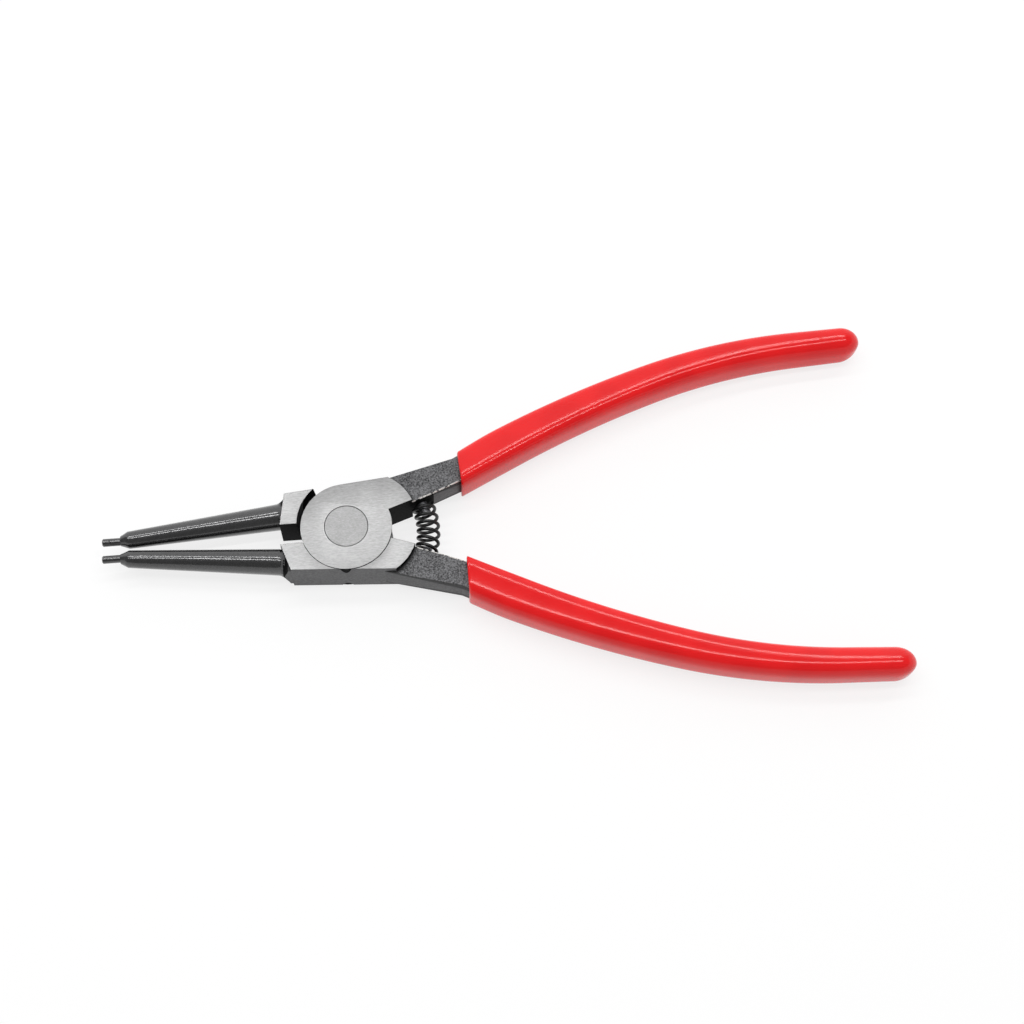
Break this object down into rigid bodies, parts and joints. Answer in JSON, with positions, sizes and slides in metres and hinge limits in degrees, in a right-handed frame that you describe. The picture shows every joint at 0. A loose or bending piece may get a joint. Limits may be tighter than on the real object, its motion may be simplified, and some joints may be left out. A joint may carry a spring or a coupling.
{
  "type": "external circlip pliers",
  "caption": "Pliers for outside retaining rings: round tapered jaws with straight tip pins, a riveted fork joint, a coil return spring and dipped grips; squeezing the handles spreads the tips.",
  "frame": {"origin": "where the pivot axis meets the rear ground face of the head", "axes": "+X from the pivot to the handles, +Y to the upper handle, +Z out of the front face"},
  "size_m": [0.1796, 0.087, 0.0102],
  "materials": {
    "forged_steel": "blackened forged steel, ground bright on the head faces",
    "rivet_steel": "ground flush with the head",
    "spring_wire": "black oiled spring wire",
    "peg_steel": "dull steel",
    "red_dip": "smooth glossy dipped coat"
  },
  "bodies": {
    "lower_half": {"lower_lever": "forged_steel", "lower_grip": "red_dip", "lower_spring_peg": "peg_steel", "return_spring": "spring_wire"},
    "upper_half": {"upper_lever": "forged_steel", "pivot_rivet": "rivet_steel", "upper_grip": "red_dip", "upper_spring_peg": "peg_steel"}
  },
  "joints": [
    {"name": "pivot", "type": "hinge", "parent": "lower_half", "child": "upper_half", "pos_m": [0, 0, 0.0051], "axis": [0, 0, -1], "range_deg": [0, 20], "stiffness_Nm_per_rad": 2, "springref_deg": -1.15, "deforming": ["return_spring"]}
  ]
}
